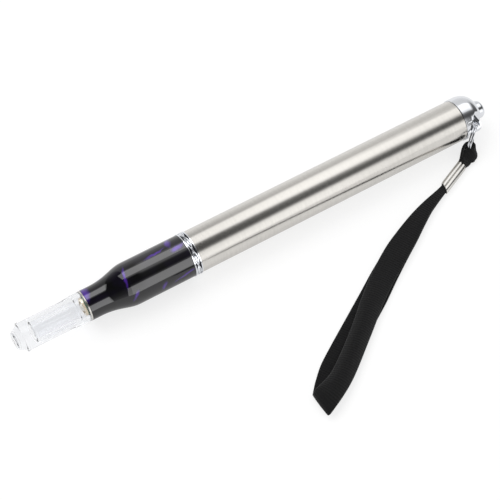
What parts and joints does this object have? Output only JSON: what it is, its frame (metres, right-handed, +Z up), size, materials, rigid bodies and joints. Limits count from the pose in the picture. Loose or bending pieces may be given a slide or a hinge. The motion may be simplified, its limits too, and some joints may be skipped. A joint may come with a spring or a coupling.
{
  "type": "pen ultraviolet curing lamp",
  "caption": "Slim pen lamp with a clear light guide at one end, a push button in the tail cap and a webbing hand loop on a split ring, for curing resin.",
  "frame": {"origin": "on the resting surface under the middle of the pen, the strap left out of account", "axes": "+X from the clear tip to the push button, +Y to the pen's far side in the picture, +Z up"},
  "size_m": [0.1978, 0.0854, 0.0166],
  "materials": {
    "clear_acrylic": "clear and polished",
    "emitter_resin": "cast lens, glossy",
    "yellow_brass": "turned",
    "circuit_board": "solder mask",
    "brushed_stainless": "fine lengthwise brushing",
    "marbled_resin": "polished, purple and black marbled",
    "plain_aluminium": "turned",
    "copper_lead": "enamelled copper wire",
    "chrome_plate": "mirror plated",
    "black_plastic": "moulded",
    "cell_sleeve": "plain sleeve on a steel can",
    "seal_rubber": "moulded",
    "spring_steel": "drawn wire",
    "bright_aluminium": "bright, crimped",
    "black_webbing": "ribbed woven webbing"
  },
  "bodies": {
    "pen_body": {"light_guide": "clear_acrylic", "uv_led": "emitter_resin", "led_retainer": "yellow_brass", "led_board": "circuit_board", "guide_rim": "brushed_stainless", "nose_barrel": "marbled_resin", "heat_slug": "plain_aluminium", "led_lead_left": "copper_lead", "led_lead_right": "copper_lead", "driver_board": "circuit_board", "trim_ring": "chrome_plate", "nose_bush": "yellow_brass", "body_tube": "brushed_stainless", "contact_cup": "black_plastic", "front_contact": "yellow_brass", "cell_front": "cell_sleeve", "cell_rear": "cell_sleeve"},
    "cap_body": {"tail_cap": "chrome_plate", "cap_seal": "seal_rubber", "cell_spring": "spring_steel", "switch_ring": "yellow_brass", "spring_plate": "yellow_brass", "switch_body": "black_plastic"},
    "button_body": {"push_button": "chrome_plate", "switch_plunger": "black_plastic"},
    "ring_body": {"split_ring": "chrome_plate"},
    "strap_body": {"strap_eye": "black_webbing", "strap_ferrule": "bright_aluminium", "wrist_loop": "black_webbing"}
  },
  "joints": [
    {"name": "tail_cap_draw", "type": "slide", "parent": "pen_body", "child": "cap_body", "axis": [1, 0, 0], "range_m": [0, 0.022]},
    {"name": "button_push", "type": "slide", "parent": "cap_body", "child": "button_body", "axis": [-1, 0, 0], "range_m": [0, 0.0015], "stiffness_N_per_m": 1500, "springref_m": -0.001},
    {"name": "ring_swing", "type": "hinge", "parent": "cap_body", "child": "ring_body", "pos_m": [0.0921, -0.006, 0.0083], "axis": [0, 0, 1], "range_deg": [-5, 75]},
    {"name": "strap_swing", "type": "hinge", "parent": "ring_body", "child": "strap_body", "pos_m": [0.0863, -0.0108, 0.0021], "axis": [0, 0, 1], "range_deg": [-12, 45]}
  ]
}
